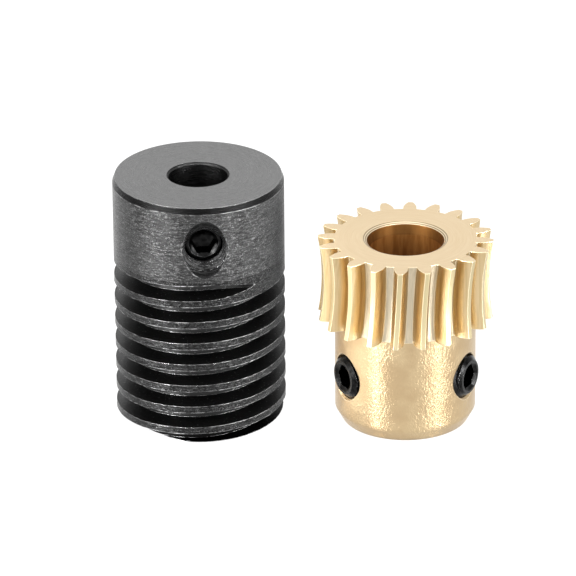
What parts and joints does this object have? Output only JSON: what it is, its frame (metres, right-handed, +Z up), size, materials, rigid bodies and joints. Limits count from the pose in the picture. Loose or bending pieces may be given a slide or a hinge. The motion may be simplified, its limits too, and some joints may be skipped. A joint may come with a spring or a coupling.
{
  "type": "worm gear set",
  "caption": "Right-hand single-start steel worm with a plain collar and a throated brass worm wheel with a hub, each bored for a shaft and held on it by cup-point set screws.",
  "frame": {"origin": "centre of the worm's bore at its foot, on the surface that both gears stand on", "axes": "+Z up along the worm's axis; +X from the worm towards the wheel; the set screws face -Y"},
  "size_m": [0.0257, 0.0124, 0.0176],
  "materials": {
    "black_steel": "black oxide over turned steel, with bright worn edges",
    "screw_steel": "glossy black oxide",
    "brass": "satin, pale"
  },
  "bodies": {
    "worm": {"worm": "black_steel"},
    "worm_screw": {"worm_set_screw": "screw_steel"},
    "wheel": {"worm_wheel": "brass"},
    "left_screw": {"wheel_set_screw_left": "screw_steel"},
    "right_screw": {"wheel_set_screw_right": "screw_steel"}
  },
  "joints": [
    {"name": "wheel_turn", "type": "hinge", "parent": "worm", "child": "wheel", "pos_m": [0.01397, -0.0007, 0], "axis": [0, 0, 1], "continuous": true},
    {"name": "worm_screw_travel", "type": "slide", "parent": "worm", "child": "worm_screw", "axis": [0.0837, -0.9965, 0], "range_m": [-0.0005, 0.002]},
    {"name": "left_screw_travel", "type": "slide", "parent": "wheel", "child": "left_screw", "axis": [-0.866, -0.5, 0], "range_m": [-0.0005, 0.002]},
    {"name": "right_screw_travel", "type": "slide", "parent": "wheel", "child": "right_screw", "axis": [0.866, -0.5, 0], "range_m": [-0.0005, 0.002]}
  ]
}
